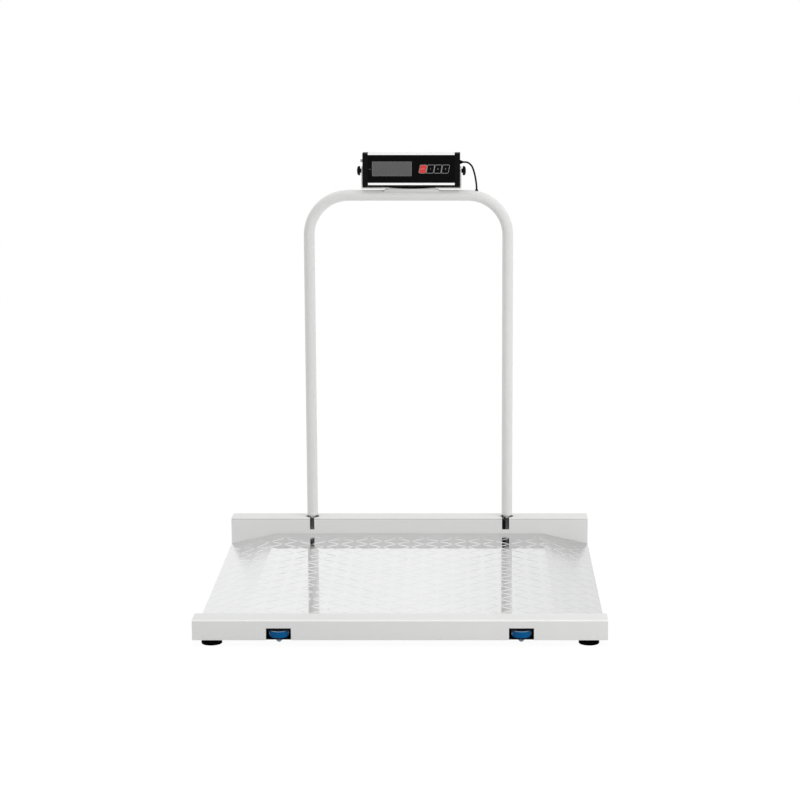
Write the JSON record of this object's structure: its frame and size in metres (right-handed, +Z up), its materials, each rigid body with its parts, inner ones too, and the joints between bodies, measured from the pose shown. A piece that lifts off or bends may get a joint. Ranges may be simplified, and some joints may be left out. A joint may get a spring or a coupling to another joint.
{
  "type": "digital floor scale",
  "caption": "Low platform scale for weighing a person in a wheelchair, with end ramps, side guards, a folding handrail and a tilting weight indicator.",
  "frame": {"origin": "on the floor, at the middle of the outline of the platform and its wheels", "axes": "+Z up, +X to the right as seen from the front guard, along the way the chair rolls, and +Y from the front guard to the rear guard that holds the handrail"},
  "size_m": [1, 1.0054, 1.1135],
  "materials": {
    "tread_plate": "bright rolled tread plate, nearly mirror-like",
    "white_powder_coat": "white powder coat, slight orange peel",
    "zinc_steel": "bright zinc plate",
    "black_steel": "black powder coat, satin",
    "oiled_steel": "bare steel, oiled, dull",
    "cell_aluminium": "machined",
    "black_rubber": "moulded, matte",
    "blue_polyurethane": "cast polyurethane, satin",
    "black_plastic": "moulded ABS, fine texture",
    "case_aluminium": "silver anodised extrusion",
    "face_film": "printed polyester film, satin",
    "red_key": "printed polyester film, satin",
    "display_glass": "grey liquid-crystal window",
    "circuit_board": "green solder mask",
    "battery_wrap": "shrink wrap",
    "cable_sheath": "PVC sheath, satin"
  },
  "bodies": {
    "platform": {"deck_plate": "tread_plate", "front_guard": "white_powder_coat", "rear_guard": "white_powder_coat", "guard_end_plates": "white_powder_coat", "deck_beams": "white_powder_coat", "load_cell_front_left": "cell_aluminium", "load_cell_front_right": "cell_aluminium", "load_cell_rear_left": "cell_aluminium", "load_cell_rear_right": "cell_aluminium", "load_cell_blocks": "zinc_steel", "load_cell_screws": "zinc_steel", "foot_lock_nuts": "zinc_steel", "load_cell_cables": "cable_sheath", "junction_box": "black_plastic", "junction_lid": "black_plastic", "junction_board": "circuit_board", "junction_screws": "zinc_steel", "wheel_brackets": "black_steel", "wheel_axles": "zinc_steel", "axle_nuts": "zinc_steel", "pivot_brackets": "black_steel"},
    "foot_front_left": {"foot_pad_front_left": "black_rubber", "foot_stud_front_left": "zinc_steel"},
    "foot_front_right": {"foot_pad_front_right": "black_rubber", "foot_stud_front_right": "zinc_steel"},
    "foot_rear_left": {"foot_pad_rear_left": "black_rubber", "foot_stud_rear_left": "zinc_steel"},
    "foot_rear_right": {"foot_pad_rear_right": "black_rubber", "foot_stud_rear_right": "zinc_steel"},
    "wheel_left": {"wheel_left": "blue_polyurethane"},
    "wheel_right": {"wheel_right": "blue_polyurethane"},
    "rail_pins": {"rail_pivot_pins": "oiled_steel"},
    "handrail": {"handrail_tube": "white_powder_coat", "rail_swages": "white_powder_coat", "rail_tongues": "oiled_steel", "saddle_plate": "white_powder_coat", "indicator_bracket": "white_powder_coat", "bracket_screws": "zinc_steel", "cable_boot": "black_rubber", "inner_cable": "cable_sheath"},
    "indicator": {"indicator_case": "case_aluminium", "case_cap_left": "black_plastic", "case_cap_right": "black_plastic", "cap_screws": "zinc_steel", "face_panel": "face_film", "display_window": "display_glass", "lcd_module": "circuit_board", "main_board": "circuit_board", "battery_pack": "battery_wrap", "cable_gland": "black_rubber", "power_socket": "zinc_steel", "indicator_cable": "cable_sheath"},
    "key_1": {"key_1": "red_key"},
    "key_2": {"key_2": "face_film"},
    "key_3": {"key_3": "face_film"},
    "key_4": {"key_4": "face_film"},
    "knob_left": {"clamp_knob_left": "black_plastic", "clamp_stud_left": "zinc_steel"},
    "knob_right": {"clamp_knob_right": "black_plastic", "clamp_stud_right": "zinc_steel"}
  },
  "joints": [
    {"name": "rail_lift", "type": "slide", "parent": "platform", "child": "rail_pins", "axis": [0, 0, 1], "range_m": [0, 0.016]},
    {"name": "rail_fold", "type": "hinge", "parent": "rail_pins", "child": "handrail", "pos_m": [0, 0.44975, 0.062], "axis": [1, 0, 0], "range_deg": [0, 88]},
    {"name": "indicator_tilt", "type": "hinge", "parent": "handrail", "child": "indicator", "pos_m": [0.009, 0.46775, 1.0645], "axis": [1, 0, 0], "range_deg": [-7, 7]},
    {"name": "knob_left_turn", "type": "hinge", "parent": "indicator", "child": "knob_left", "pos_m": [0.009, 0.46775, 1.0645], "axis": [1, 0, 0], "continuous": true},
    {"name": "knob_right_turn", "type": "hinge", "parent": "indicator", "child": "knob_right", "pos_m": [0.009, 0.46775, 1.0645], "axis": [1, 0, 0], "continuous": true},
    {"name": "key_1_press", "type": "slide", "parent": "indicator", "child": "key_1", "axis": [0, 1, 0], "range_m": [0, 0.0004], "stiffness_N_per_m": 3000},
    {"name": "key_2_press", "type": "slide", "parent": "indicator", "child": "key_2", "axis": [0, 1, 0], "range_m": [0, 0.0004], "stiffness_N_per_m": 3000},
    {"name": "key_3_press", "type": "slide", "parent": "indicator", "child": "key_3", "axis": [0, 1, 0], "range_m": [0, 0.0004], "stiffness_N_per_m": 3000},
    {"name": "key_4_press", "type": "slide", "parent": "indicator", "child": "key_4", "axis": [0, 1, 0], "range_m": [0, 0.0004], "stiffness_N_per_m": 3000},
    {"name": "wheel_left_spin", "type": "hinge", "parent": "platform", "child": "wheel_left", "pos_m": [-0.292, -0.47875, 0.03], "axis": [0, 0, 1], "continuous": true},
    {"name": "wheel_right_spin", "type": "hinge", "parent": "platform", "child": "wheel_right", "pos_m": [0.292, -0.47875, 0.03], "axis": [0, 0, 1], "continuous": true},
    {"name": "foot_front_left_turn", "type": "hinge", "parent": "platform", "child": "foot_front_left", "pos_m": [-0.456, -0.46475, 0], "axis": [0, 0, 1], "continuous": true},
    {"name": "foot_front_right_turn", "type": "hinge", "parent": "platform", "child": "foot_front_right", "pos_m": [0.456, -0.46475, 0], "axis": [0, 0, 1], "continuous": true},
    {"name": "foot_rear_left_turn", "type": "hinge", "parent": "platform", "child": "foot_rear_left", "pos_m": [-0.456, 0.47025, 0], "axis": [0, 0, 1], "continuous": true},
    {"name": "foot_rear_right_turn", "type": "hinge", "parent": "platform", "child": "foot_rear_right", "pos_m": [0.456, 0.47025, 0], "axis": [0, 0, 1], "continuous": true}
  ],
  "couplings": [
    {"joint": "rail_lift", "follows": "rail_fold", "m_per_rad": 0.0104}
  ]
}
